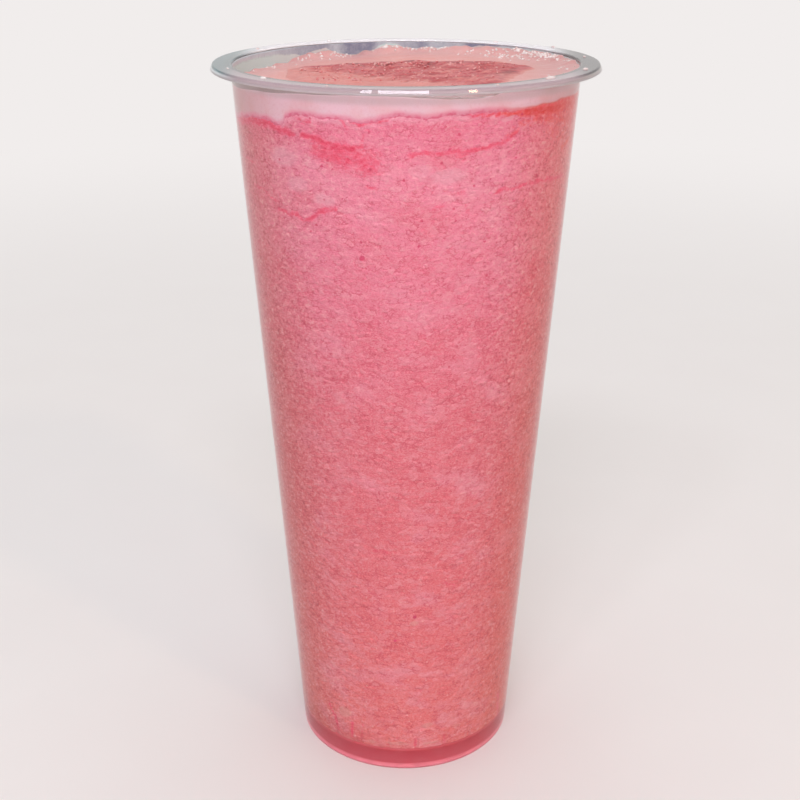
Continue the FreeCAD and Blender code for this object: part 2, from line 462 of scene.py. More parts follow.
def blended_ice(tree):
    """Blended ice pressed against the wall: wet crumbs 1 to 2 mm across in a pink syrup. The syrup
    shows crimson in the cracks between crumbs and gathers in coral veins and pores; the mix is
    pinker at the top and warmer at the bottom. Painted shade darkens its sides and its lower left,
    and painted shade and highlight part its crumbs more at the sides."""
    x, _, z, _ = position(tree)
    base, rise = by_height(tree, z, cup_height, SLUSH_BY_HEIGHT)
    near_froth, syrup, warm_syrup, milky, pores = shares_kept(
        tree, "near_froth", "syrup", "warm_syrup", "milky", "pores")

    # noises from patches of 12 mm down to grains of half a millimetre, all lying flat
    flat_mm = millimetres(tree, (1, 1, 1.5))
    patches, open_cracks, bend, fray, body, fine = [
        add(tree, "TexNoise", {"Vector": flat_mm, "Scale": scale, "Detail": detail, "Roughness": rough,
                               "Distortion": distortion})
        for scale, detail, rough, distortion in (
            (0.085, 3.0, 0.55, 0.0), (0.30, 2.0, 0.50, 0.0), (0.50, 3.0, 0.70, 0.0),
            (0.80, 4.0, 0.70, 0.0), (0.85, 4.0, 0.70, 0.5), (2.1, 2.0, 0.60, 0.0))]
    # crumbs with bent outlines
    bent = add(tree, "VectorMath", {0: bend.outputs["Color"], 1: (3.4, 3.4, 3.4), 2: flat_mm},
               operation="MULTIPLY_ADD")
    crumbs, cracks = [add(tree, "TexVoronoi", {"Vector": bent, "Scale": 0.50}, feature=feature)
                      for feature in ("F1", "DISTANCE_TO_EDGE")]
    crumb_tone = add(tree, "SeparateXYZ", {"Vector": crumbs.outputs["Color"]})
    # the pattern's colours part less towards the bottom, where the relief shows more
    contrast = share(tree, (rise, 0.15, 0.95, 1.0, 0.55))
    colour = layered(
        tree, base,
        ("#F3AABD", (patches, 0.50, 0.70, 0.34)),
        ("#E2606F", (patches, 0.49, 0.30, 0.27)),
        ("#F8BDC6", (crumb_tone, 0.45, 1.0, 0.22)),
        ("#FBC8CC", (body, 0.50, 0.74, 0.38), contrast),
        ("#D64A62", (body, 0.46, 0.26, 0.36), contrast),
        ("#FBC2C6", (fine, 0.44, 0.70, 0.30)),
        ("#C83E56", (fine, 0.44, 0.27, 0.28)),
        ("#CE3856", (cracks, 0.13, 0.01), (open_cracks, 0.45, 0.62, 0.46)))

    # painted shade: duller and browner towards the left and right, most of all at the right
    wall_here = add(tree, "Math", {0: z, 1: taper, 2: foot_radius}, operation="MULTIPLY_ADD")
    aside = add(tree, "Math", {0: x, 1: wall_here}, operation="DIVIDE")
    colour = layered(tree, colour, ("#FACBB6", (aside, 0.50, 1.0)), ("#F1D2C6", (aside, -0.50, -1.0)),
                     blend_type="MULTIPLY")

    # painted shade and highlight: the crumbs part more strongly where the wall turns away
    turned_away = share(tree, (add(tree, "Math", {0: aside}, operation="ABSOLUTE"), 0.25, 0.75))
    torn_froth = frayed(tree, near_froth, body, 1.8)
    colour = layered(
        tree, colour,
        # painted shade near the floor at the left
        ("#C8484C", (rise, 0.080, 0.045, 0.32), (aside, -0.1, -0.6)),
        # painted shade and painted highlight on the crumbs at the sides
        ("#A83444", (body, 0.48, 0.30, 0.44), turned_away),
        ("#FBCCC8", (body, 0.51, 0.69, 0.38), turned_away),
        # froth mixed into the slush just under the line
        ("#F4B2C2", (torn_froth, 0.15, 0.95, 0.62), (near_froth, 0.0, 0.3)))

    # veins, pores and paler lumps are set on the mesh; noise frays their edges
    for vein, halo, core in ((syrup, "#F25C7C", "#E43658"), (warm_syrup, "#F05048", "#E6342E")):
        torn_vein = frayed(tree, vein, fray, 1.7)
        colour = layered(tree, colour,
                         (halo, (torn_vein, 0.15, 0.95, 0.72), (vein, 0.0, 0.3)),
                         (core, (torn_vein, 0.68, 1.30, 0.85), (vein, 0.3, 0.8)))
    milk = layered(tree, "#E9A49E", ("#EFAEBC", (rise, 0.2, 0.6)))
    # specks well under a millimetre: crimson pores mostly high up, pale grains of ice mostly low down
    specks, grains = [add(tree, "TexVoronoi", {"Vector": millimetres(tree), "Scale": scale})
                      for scale in (0.24, 0.42)]
    colour = layered(
        tree, colour,
        (milk, (frayed(tree, milky, fray, 0.85), 0.2, 0.9, 0.66)),
        ("#DE4C74", (pores, 0.2, 0.7, 0.85)),
        ("#D83A62", (specks, 0.11, 0.05), (rise, 0.35, 0.8, 0.7, 0.2)),
        ("#F8BDB6", (grains, 0.15, 0.06), (rise, 0.6, 0.1, 0.65, 0.15)))

    relief = add(tree, "Math", {0: fine, 1: 0.5, 2: body}, operation="MULTIPLY_ADD")
    relief = add(tree, "Math", {0: crumbs, 1: -0.7, 2: relief}, operation="MULTIPLY_ADD")
    bump = add(tree, "Bump", {"Height": relief, "Strength": 0.52, "Distance": 0.7 * MM})
    return add(tree, "BsdfPrincipled", {
        "Base Color": colour, "Roughness": 0.6, "IOR": 1.33, "Specular IOR Level": 0.1, "Normal": bump})


def open_slush_crown(tree):
    """The slush's open top: a soft crust of ice crumbs in folds, wet with syrup, with painted shade in the
    hollows and painted highlight on the raised crumbs, and an edge that is pale at the front and dark
    at the back with painted shade."""
    long_mm = millimetres(tree, (0.85, 1.1, 1))
    hollow, edge, at_back, veil = shares_kept(tree, "hollow", "crown_edge", "crown_back", "froth_veil")
    # crumbs about a millimetre across, in patches of 8 mm
    crumbs = add(tree, "TexNoise", {
        "Vector": long_mm, "Scale": 0.9, "Detail": 4.0, "Roughness": 0.65, "Distortion": 0.8})
    patches = add(tree, "TexNoise", {"Vector": long_mm, "Scale": 0.13, "Detail": 3.0, "Roughness": 0.55})
    # the edge is pale, and dark at the back as painted shade
    edge_colour = layered(tree, "#DC918A", ("#8A4E4A", at_back))
    colour = layered(
        tree, "#BC5054",
        ("#C9686C", (patches, 0.38, 0.62)),
        ("#E8958C", (crumbs, 0.50, 0.72, 0.50)),
        ("#953640", (crumbs, 0.48, 0.30, 0.65)),
        # painted shade in the hollows and painted highlight on the raised crumbs
        ("#873238", (hollow, 0.45, 0.95, 0.85)),
        ("#E89A90", (hollow, 0.35, 0.05, 0.45)),
        ("#E39A92", (frayed(tree, veil, patches, 0.8), 0.25, 0.85, 0.68)),
        (edge_colour, (edge, 0.1, 0.95, 0.85)))
    bump = add(tree, "Bump", {"Height": crumbs, "Strength": 0.5, "Distance": 0.5 * MM})
    return add(tree, "BsdfPrincipled", {
        "Base Color": colour, "Roughness": 0.45, "IOR": 1.33, "Subsurface Weight": 0.15,
        "Subsurface Radius": (1.0, 0.45, 0.4), "Subsurface Scale": 1.0 * MM, "Normal": bump})


def milk_froth(tree):
    """Froth of air and syrup: smooth, milky and pale, salmon where it is thin over the slush, with
    bubbles too small to part. Painted shade darkens it at the sides, at the right of its open top and
    under the rim."""
    thin, line, top, under_rim, coral = shares_kept(
        tree, "thin", "line_share", "open_top", "under_rim", "coral_side")
    mm, flat_mm = millimetres(tree), millimetres(tree, (1, 1, 1.3))
    # clouds of 6 mm, and foam and frays of about a millimetre
    clouds, foam, fray = [
        add(tree, "TexNoise", {"Vector": place, "Scale": scale, "Detail": detail, "Roughness": rough})
        for place, scale, detail, rough in ((mm, 0.16, 3.0, 0.55), (mm, 1.3, 3.0, 0.6),
                                            (flat_mm, 0.75, 4.0, 0.65))]
    x, _, _, _ = position(tree)
    aside = add(tree, "MapRange", {"Value": x, "From Min": -shoulder_radius, "From Max": shoulder_radius})
    behind_wall = add(tree, "Math", {0: 1.0, 1: top}, operation="SUBTRACT")
    # slush shows through the froth's thin lower edge: rose, and coral at the right
    thinning = layered(tree, "#F096AE", ("#F04A36", coral))
    last = layered(tree, "#E8708E", ("#F2463E", coral))
    colour = layered(
        tree, "#F6D3DD",
        ("#DEA3A0", top),
        ("#E2948C", (thin, 0.0, 1.0)),
        ("#EBA8A6", (clouds, 0.40, 0.70, 0.35)),
        ("#F4D3D3", (foam, 0.50, 0.75, 0.30)),
        ("#DE8E94", (foam, 0.48, 0.28, 0.22)),
        # painted shade at the sides behind the wall, and at the right of the open top
        ("#CC8A84", (aside, 0.22, 0.0, 0.62), behind_wall),
        ("#CC8A84", (aside, 0.78, 1.0, 0.62), behind_wall),
        ("#BE7F7E", (aside, 0.70, 0.95, 0.45), top),
        # painted shade under the rim
        ("#D4BABE", (under_rim, 0.0, 1.0, 0.75)),
        (thinning, (line, 0.05, 0.70, 0.75)),
        (last, (frayed(tree, line, fray, 1.3), 0.60, 1.0, 0.9)))
    bump = add(tree, "Bump", {"Height": foam, "Strength": 0.25, "Distance": 0.3 * MM})
    return add(tree, "BsdfPrincipled", {
        "Base Color": colour, "Roughness": 0.32, "IOR": 1.33, "Subsurface Weight": 0.4,
        "Subsurface Radius": (1.0, 0.7, 0.65), "Subsurface Scale": 1.5 * MM, "Normal": bump})


def froth_smear(tree):
    """A thin wet film that froth leaves on the plastic: milky low down, and above it a painted
    reflection of darker surroundings, bluish grey to pale grey, which also tints the milky part. Its
    outer face, seen through the wall, is darker."""
    cover, mist, tone = shares_kept(tree, "cover", "mist", "mist_tone")
    mm = millimetres(tree)
    foam = add(tree, "TexNoise", {"Vector": mm, "Scale": 0.9, "Detail": 4.0, "Roughness": 0.65})
    torn = frayed(tree, cover, foam, 0.8)
    shown = add(tree, "Math", {0: share(tree, (torn, 0.15, 0.75, 0.88)), 1: mist}, operation="MAXIMUM")
    _, _, z, radius = position(tree)
    film_middle = add(tree, "Math", {0: z, 1: taper, 2: wall_inside(0) - smear_inset},
                      operation="MULTIPLY_ADD")
    outer_face = add(tree, "Math", {0: radius, 1: film_middle}, operation="GREATER_THAN")
    # the milky film takes the painted reflection's tint
    milky = layered(tree, "#E3CFCE", ("#D8F4F1", tone))
    # painted reflection: bluish grey to pale grey by tone, milky where the froth film covers
    shade = layered(
        tree, "#8A8FA8",
        ("#E0E8EE", frayed(tree, tone, foam, 0.9)),
        (milky, (torn, 0.30, 0.65)),
        ("#BFA9A6", outer_face))
    milk = add(tree, "BsdfPrincipled", {"Base Color": shade, "Roughness": 0.4, "IOR": 1.33})
    clear = add(tree, "BsdfTransparent")
    return add(tree, "MixShader", {0: shown, 1: clear, 2: milk})


def clear_polypropylene(tree):
    """Injection-moulded clear polypropylene: glossy, and painted greyer where the flange is seen edge on,
    most of all at its left and right ends, as a painted reflection of darker surroundings."""
    x, _, _, radius = position(tree)
    aside = add(tree, "Math", {0: x}, operation="ABSOLUTE")
    # painted reflection: the flange greyer towards its left and right ends
    flange = layered(tree, "#EFEBEC", ("#D4DADC", (aside, 0.65 * rim_radius, 0.98 * rim_radius)))
    past_mouth = [mouth_inner_radius + reach * MM for reach in (0.3, 1.2)]
    colour = layered(tree, "#FBFBFB", (flange, (radius, *past_mouth)))
    plastic = add(tree, "BsdfPrincipled", {
        "Base Color": colour, "Roughness": 0.03, "IOR": 1.39, "Transmission Weight": 1.0})
    return lamp_lit(tree, plastic, "#FAF8F8")


def moulding_haze(tree):
    """Haze in the thick flange, which also carries painted light: mauve grey at the front, a painted
    tint of the drink's light, and a painted dark reflection along the mouth; teal grey at the left end
    and nearly black at the right end, painted reflections of darker surroundings; cool and pale at the
    back; and painted pale along the lip as highlight, most of all at its left end and its lower edge."""
    x, y, z, radius = position(tree)
    left = share(tree, (x, -0.78 * rim_radius, -0.93 * rim_radius))
    right = share(tree, (x, 0.76 * rim_radius, 0.93 * rim_radius))
    behind = share(tree, (y, -0.15 * rim_radius, 0.4 * rim_radius))
    in_front = add(tree, "Math", {0: 1.0, 1: behind}, operation="SUBTRACT")
    beside_mouth = [mouth_inner_radius + reach * MM for reach in (1.6, 0.8)]
    lip_top, lip_face, lip_low, lip_edge = [cup_height - drop * MM for drop in (0.30, 0.75, 0.85, 1.15)]
    lip = layered(tree, "#C6B2B6", ("#F8FCFC", left), ("#D0C6C4", right))
    # painted reflections and highlight: teal and black at the ends, a dark line along the mouth, pale along
    # the lip
    colour = layered(
        tree, "#AC9A9F",
        ("#E6E6EA", behind),
        ("#443A3E", (radius, *beside_mouth), in_front),
        ("#3F6A70", left),
        ("#2C2A2B", right),
        (lip, (z, lip_top, lip_face)),
        ("#E8DCDE", (z, lip_low, lip_edge)))
    haze = add(tree, "BsdfPrincipled", {"Base Color": colour, "Roughness": 0.5, "Specular IOR Level": 0.1})
    return lamp_lit(tree, haze)


def satin_recess(tree):
    """A satin sheet for the inside of the foot, painted with the drink's rose light seen through the
    skirt: painted shade deep under the floor, paler towards the foot, and a painted glow where the
    foot ring gathers light."""
    _, _, z, _ = position(tree)
    base, _ = by_height(tree, z, floor_top, [
        (0.0, "#FA9CA8"), (0.13, "#F28C9A"), (0.22, "#D4606E"), (0.55, "#CE5260"), (0.85, "#C84652"),
        (0.99, "#CE5A62")])
    cloudy = add(tree, "TexNoise", {"Vector": millimetres(tree), "Scale": 0.25, "Detail": 2.0})
    colour = layered(tree, base, ("#D06874", (cloudy, 0.40, 0.65, 0.25)))
    return add(tree, "BsdfPrincipled", {
        "Base Color": colour, "Roughness": 0.55, "IOR": 1.49, "Specular IOR Level": 0.2})


def foam_water(tree):
    """Drops and bubbles of melt water with a little foam in it: smooth, glossy and milky."""
    swirl = add(tree, "TexNoise", {"Vector": millimetres(tree), "Scale": 0.8, "Detail": 2.0})
    colour = layered(tree, "#E6CFCC", ("#FBF3F1", (swirl, 0.4, 0.65)))
    return add(tree, "BsdfPrincipled", {"Base Color": colour, "Roughness": 0.08, "IOR": 1.33})


def ice_crumb(tree):
    """Loose crumbs of ice soaked in syrup: glossy, half clear, pink."""
    cloud = add(tree, "TexNoise", {"Vector": millimetres(tree), "Scale": 1.1, "Detail": 2.0})
    colour = layered(tree, "#D8767A", ("#F0B2AE", (cloud, 0.35, 0.65)))
    return add(tree, "BsdfPrincipled", {
        "Base Color": colour, "Roughness": 0.15, "IOR": 1.31, "Subsurface Weight": 0.5,
        "Subsurface Radius": (1.0, 0.6, 0.6), "Subsurface Scale": 1.0 * MM})


BACKDROP = "#F1EDEC"


def pale_board(tree):
    """Pale matt board, which fades into the backdrop far from the cup."""
    grain = add(tree, "TexNoise", {"Vector": millimetres(tree), "Scale": 0.02, "Detail": 2.0})
    colour = layered(tree, "#F3EEEC", ("#F6F2F0", grain))
    board = add(tree, "BsdfPrincipled", {"Base Color": colour, "Roughness": 0.7, "Specular IOR Level": 0.2})
    _, _, _, radius = position(tree)
    far = share(tree, (radius, 0.12, 0.9), seen_directly(tree))
    backdrop = add(tree, "Emission", {"Color": BACKDROP, "Strength": 1.0})
    return add(tree, "MixShader", {0: far, 1: board, 2: backdrop})


# ---- Cup ----
def beside_rib(angle, radius, z):
    """Share of a stacking rib's full depth at points on the wall."""
    pitch = math.tau / rib_count
    turn = (angle + math.pi / 2 - rib_phase + pitch / 2) % pitch - pitch / 2
    across = np.abs(turn) * radius
    top = floor_top + rib_height
    return (1 - smooth(across, 0.3 * rib_width, 0.7 * rib_width)) * (1 - smooth(z, top - 0.6 * MM, top))


def recess_inside(z):
    """Radius of the skirt's inner surface, which leans in to the thick foot."""
    foot_inside = foot_radius - foot_thickness
    return foot_inside + (wall_inside(recess_depth) - foot_inside) * z / recess_depth


def moulded_cup():
    """The whole cup as one turned shell: foot, wall, flange with its down-turned leaning lip, inner
    wall with its stacking ribs, and raised floor."""
    lip_inside = rim_radius - lip_thickness
    lip_bottom = cup_height - lip_drop
    underside = cup_height - flange_thickness
    # the inner wall is closely divided where the ribs stand
    rib_rows = [(wall_inside(z), z, 0) for z in
                (floor_top + rise * MM for rise in (6, 4.2, 3.9, 3.6, 3.3, 3.0, 2.6, 2.2))]
    corners = [
        (0, recess_depth - gate_height, 0),
        (gate_radius, recess_depth - gate_height, gate_height / 3),
        (gate_radius, recess_depth, gate_height / 3),
        (wall_inside(recess_depth), recess_depth, recess_rounding),
        (foot_radius - foot_thickness, 0, lip_rounding),
        (foot_radius, 0, foot_rounding),
        (shoulder_radius, underside, root_rounding),
        (lip_inside, underside, lip_rounding),
        (lip_inside, lip_bottom, lip_rounding),
        (rim_radius, lip_bottom, lip_rounding),
        (rim_radius - lip_slope, cup_height, rim_rounding),
        (mouth_inner_radius, cup_height, mouth_rounding),
        *rib_rows,
        (wall_inside(floor_top), floor_top, floor_rounding),
        (0, floor_top, 0),
    ]
    piece = turned("moulded_cup", rounded(corners), 600)
    angle, radius, z = polar(piece)
    play = 0.01 * MM
    inner = (z > floor_top - play) & (z < floor_top + rib_height) & (radius < wall_inside(z) + play)
    inner &= radius > wall_inside(z) - floor_rounding
    radius = np.where(inner, radius - rib_proud * beside_rib(angle, radius, z), radius)
    move_to(piece, *xy(angle, radius), z)
    return piece


def recess_lining():
    """A satin sheet just inside the plastic of the skirt, the floor and the foot, which carries the
    recess's painted shade and glow.
    """
    into = 0.06 * MM
    thickness = 2 * into
    top, under, foot = floor_top - into, recess_depth - into, 0.12 * MM
    skirt = [(recess_inside(rise * recess_depth) + into, rise * recess_depth)
             for rise in (0.95, 0.8, 0.6, 0.4, 0.25)]
    round_the_foot = [(foot_radius - inset * MM, height * MM) for inset, height in
                      ((0.32, 1.0), (0.24, 0.6), (0.34, 0.25), (0.55, 0.12))]
    profile = [
        (0, top), (wall_inside(top) * 0.6, top), (wall_inside(top) - 0.5 * MM, top),
        (wall_inside(top) + into, top - 0.10 * MM),
        *skirt, (recess_inside(1.2 * MM) + into, 1.2 * MM), *round_the_foot,
        (recess_inside(foot) + 0.3 * MM, foot), (recess_inside(foot) - into, 2.5 * foot),
        *((radius - thickness, height) for radius, height in reversed(skirt)),
        (wall_inside(under) - 1.2 * MM, under), (wall_inside(under) * 0.5, under), (0, under)]
    return turned("recess_lining", profile, 240)


def flange_haze():
    """The hazy core of the flange and its lip, a thin ring inside the plastic, which carries the flange's
    painted reflections and highlight.
    """
    top = cup_height - 0.20 * MM
    low = cup_height - lip_drop + 0.10 * MM
    mouth = mouth_inner_radius + 0.25 * MM
    corner = rim_radius - lip_slope - 0.22 * MM
    outline = [(mouth, top), (corner, top), (corner + 0.12 * MM, top - 0.1 * MM),
               (rim_radius - 0.20 * MM, low), (rim_radius - 0.48 * MM, low),
               (corner - 0.10 * MM, top - 0.30 * MM), (mouth, top - 0.25 * MM)]
    return turned("flange_haze", outline + outline[:1], 360)


# ---- Slush against the wall ----
# Syrup veins behind the wall: points of (degrees, millimetres above the table), then the vein's width
# in millimetres at its start and end, and its strength.
VEINS = [
    ([(-164, 175.0), (-160.4, 175.4), (-146.2, 176.5), (-138.1, 176.7), (-134.5, 175.9), (-131.2, 175.5),
      (-127.2, 175.1)], 1.9, 0.8, 1.0),
    ([(-123.8, 175.2), (-120.6, 175.0), (-117.6, 174.7), (-115.8, 173.9), (-114.0, 173.6), (-110.5, 173.2),
      (-107.1, 172.9)], 0.7, 1.3, 1.0),
    ([(-107.1, 172.9), (-103.7, 173.8)], 1.0, 0.5, 1.0),
    ([(-118, 172.4), (-112, 171.4), (-106, 170.8), (-101.5, 170.0)], 2.6, 3.6, 0.80),
    ([(-103.9, 168.8), (-102.3, 167.7)], 0.8, 0.6, 0.7),
    ([(-110.1, 179.5), (-107.5, 177.3)], 0.5, 0.4, 0.7),
    ([(-106.7, 179.2), (-104.1, 178.5), (-100.2, 179.1), (-95.7, 179.6)], 0.6, 0.5, 0.9),
    ([(-126.6, 179.2), (-123.3, 179.1)], 0.8, 0.6, 0.6),
    ([(-122.9, 177.9), (-120.5, 178.3)], 0.6, 0.6, 0.8),
    ([(-103.3, 174.7), (-102.5, 176.8), (-100.2, 178.0)], 0.5, 0.4, 0.5),
    ([(-136.8, 156.9), (-132.1, 156.4), (-128.2, 156.4), (-125.6, 155.4), (-122.0, 156.0), (-119.3, 158.0),
      (-115.3, 158.8), (-113.0, 159.2)], 0.6, 0.6, 0.85),
    ([(-151.9, 160.7), (-144.7, 160.4), (-141.1, 159.1), (-136.4, 158.7)], 0.6, 0.5, 0.6),
    ([(-164.2, 166.6), (-154.4, 166.4), (-149.0, 166.1)], 0.5, 0.4, 0.6),
    ([(-102.4, 164.8), (-99.0, 164.4)], 0.6, 0.6, 0.7),
    ([(-72.3, 180.4), (-60.7, 180.3)], 0.4, 0.7, 0.9),
    ([(-88.6, 172.0), (-84.8, 172.8), (-80.2, 172.2), (-75.8, 172.3), (-68.8, 172.5), (-64.1, 173.0),
      (-59.6, 173.7), (-56.6, 174.6), (-54.0, 175.4)], 0.7, 0.7, 0.85),
    ([(-74.0, 171.7), (-71.7, 170.8)], 0.8, 0.6, 0.6),
    ([(-78.1, 163.8), (-74.7, 163.2), (-71.2, 163.3)], 0.5, 0.5, 0.6),
    ([(-60.5, 162.3), (-57.0, 163.1), (-53.2, 162.7), (-48.7, 163.5), (-42.4, 163.4), (-36.9, 163.1),
      (-23.7, 162.4)], 0.6, 0.6, 0.8),
    ([(-81.2, 159.5), (-78.3, 160.4)], 0.6, 0.5, 0.6),
    ([(-71.0, 160.1), (-69.3, 158.4)], 0.6, 0.5, 0.6),
    ([(-103.7, 70.1), (-97.0, 69.7)], 0.4, 0.4, 0.5),
    ([(-72.6, 60.1), (-67.6, 58.9)], 0.4, 0.4, 0.5),
    ([(-106.7, 57.3), (-100.1, 56.3)], 0.4, 0.4, 0.4),
    ([(-114.3, 50.0), (-108.2, 48.6)], 0.4, 0.4, 0.4),
    # runs of syrup just above the floor
    ([(-133.5, 16.3), (-129.8, 13.3), (-127.4, 8.9)], 0.5, 0.6, 0.8),
    ([(-118.9, 13.0), (-118.6, 8.3)], 0.6, 0.5, 0.9),
    ([(-112.9, 13.3), (-113.0, 7.8)], 0.4, 0.4, 0.6),
    ([(-84.5, 10.5), (-84.4, 7.0)], 0.5, 0.5, 0.6),
    ([(-69.2, 10.1), (-68.1, 6.5)], 0.5, 0.5, 0.6),
    ([(-31.0, 15.0), (-28.0, 7.0)], 1.0, 0.8, 0.6),
]
# Broad coral syrup just under the froth at the right, in the same terms.
WARM_VEINS = [
    ([(-68, 180.2), (-61, 180.1), (-54, 179.9)], 0.4, 0.9, 0.5),
    ([(-60.7, 180.3), (-54.6, 180.0), (-49.8, 179.8), (-41.4, 179.8), (-30.4, 179.7), (-17.7, 179.2),
      (-4, 179.0), (10, 179.0), (24, 179.4)], 0.3, 3.6, 1.0),
    ([(-46, 178.4), (-32, 177.2), (-18, 176.2), (0, 176.0), (16, 177.0)], 1.6, 4.6, 0.62),
    ([(-38, 174.6), (-26, 173.0), (-12, 172.0), (4, 172.6)], 2.0, 5.0, 0.36),
    ([(-56.0, 175.6), (-52.0, 177.5), (-46, 178.0)], 1.6, 2.0, 0.42),
    ([(-27.2, 169.7), (-18.9, 171.4), (-10, 174.0)], 0.9, 1.4, 0.7),
    ([(-16, 170), (-10, 172.5), (-6, 175.5)], 1.4, 1.6, 0.7),
]
# Pores of syrup: (degrees, millimetres above the table, radius in millimetres).
PORES = [
    (-113.4, 168.1, 0.28), (-117.2, 168.7, 0.42), (-134.2, 154.9, 0.34), (-104.5, 148.0, 0.75),
    (-110.6, 161.5, 0.32), (-52.5, 159.7, 0.34), (-41.5, 156.5, 0.38), (-85.7, 151.2, 0.46),
    (-63.1, 151.2, 0.46), (-53.2, 169.9, 0.42), (-62.3, 165.6, 0.26), (-76.6, 173.1, 0.45),
    (-73.9, 156.9, 0.32), (-38.9, 166.5, 0.26), (-85.6, 50.4, 0.62), (-94.6, 42.9, 0.45),
    (-127.5, 34.6, 0.22),
]
# Milky lumps: (degrees, millimetres above the table, half width, half height, strength).
MILKY = [
    (-132.3, 169.5, 5.5, 3.0, 0.8), (-127.1, 163.7, 4.5, 2.5, 0.7), (-117.0, 160.9, 4.0, 2.0, 0.7),
    (-76.7, 167.2, 6.0, 2.4, 0.8), (-85.4, 168.7, 4.0, 2.0, 0.6), (-57.6, 179.0, 2.4, 0.7, 1.0),
    (-35.7, 176.8, 1.9, 1.2, 0.35), (-85.8, 48.3, 1.6, 1.3, 0.9), (-122.6, 15.9, 2.6, 2.2, 1.0),
    (-78.2, 14.6, 2.4, 1.3, 0.7), (-94.0, 8.6, 4.6, 0.9, 0.8), (-76.6, 8.4, 3.4, 0.9, 0.8),
    (-107.6, 8.2, 2.4, 1.0, 0.7), (-62, 12.5, 2.0, 1.2, 0.5), (-112, 12.2, 1.6, 1.2, 0.5),
]


def back_of_the_cup(seed):
    """The same kinds of mark scattered round the half of the wall that faces away."""
    rng = random.Random(seed)
    veins = []
    for _ in range(17):
        angle = rng.uniform(8, 178)
        height = rng.choice((rng.uniform(150, 178), rng.uniform(150, 178), rng.uniform(30, 150)))
        points = [(angle, height)]
        for _ in range(rng.randint(2, 6)):
            angle += rng.uniform(2.0, 5.0)
            height += rng.uniform(-1.1, 1.1)
            points.append((angle, height))
        points = [point for point in points if point[0] < 179.5]
        if len(points) > 1:
            veins.append((points, rng.uniform(0.5, 1.0), rng.uniform(0.4, 0.8), rng.uniform(0.6, 0.95)))
    warm = [([(60, 178.2), (68, 177.5), (79, 177.9), (92, 177.2)], 0.6, 0.9, 0.45)]
    pores = [(rng.uniform(2, 178), rng.uniform(30, 176), rng.uniform(0.25, 0.6)) for _ in range(16)]
    milky = [(rng.uniform(5, 170), rng.uniform(10, 174), rng.uniform(2, 5.5), rng.uniform(1, 3), 0.5)
             for _ in range(12)]
    return veins, warm, pores, milky


def veins_at(angle, z, veins):
    """Strength of the veins at points on the wall, from 0 to 1."""
    along = angle * wall_inside(z)
    strength = np.zeros(len(z))
    for points, start_width, end_width, peak in veins:
        count = len(points) - 1
        for k, ((a0, h0), (a1, h1)) in enumerate(zip(points, points[1:])):
            middle = (h0 + h1) / 2 * MM
            radius = wall_inside(middle)
            near = np.abs(z - middle) < (abs(h1 - h0) / 2 + 6) * MM
            p = np.array((math.radians(a0) * radius, h0 * MM))
            q = np.array((math.radians(a1) * radius, h1 * MM))
            rows = np.column_stack((along[near], z[near]))
            step = q - p
            share = np.clip(((rows - p) @ step) / (step @ step), 0, 1)
            distance = np.hypot(*(rows - p - share[:, None] * step).T)
            width = (start_width + (end_width - start_width) * (k + share) / count) * MM
            here = peak * (1 - smooth(distance, 0.1 * width, 1.7 * width))
            strength[near] = np.maximum(strength[near], here)
    return strength


def spots_at(angle, z, spots):
    """Strength of oval spots at points on the wall: (degrees, height, half width, half height, peak)."""
    along = angle * wall_inside(z)
    strength = np.zeros(len(z))
    for degrees, height, half_width, half_height, peak in spots:
        across = (along - math.radians(degrees) * wall_inside(height * MM)) / (half_width * MM)
        up = (z - height * MM) / (half_height * MM)
        strength = np.maximum(strength, peak * (1 - smooth(np.hypot(across, up), 0.45, 1.15)))
    return strength


def slush_side_radius(angle, z):
    """Radius of the slush against the wall: its crumbs run just into the wall, and into the floor's
    corner, and the ribs groove it."""
    radius = wall_inside(z) + slush_reach
    sway = 0.010 * np.sin(31 * angle + 900 * z) + 0.006 * np.sin(53 * angle - 1700 * z)
    lean = 0.35 * MM * np.sin(47 * angle + 300 * z) + 0.25 * MM * np.sin(83 * angle)
    coarse = crumbs_on_wall(angle + sway, z + lean, 2.3 * MM, 1.4 * MM, 41)
    small = crumbs_on_wall(angle - sway, z - lean, 1.1 * MM, 0.75 * MM, 42)
    relief = crumb_relief * (0.65 * coarse + 0.35 * small) * smooth(z, floor_top, floor_top + 2 * MM)
    return radius + relief - rib_proud * beside_rib(angle, radius, z)


# The slush behind the wall is made in bands, each fine enough to carry its crumbs: heights where one
# ends and the next starts, in millimetres. The last one ends in the froth.
BANDS = (6.95, 60, 116, 174)


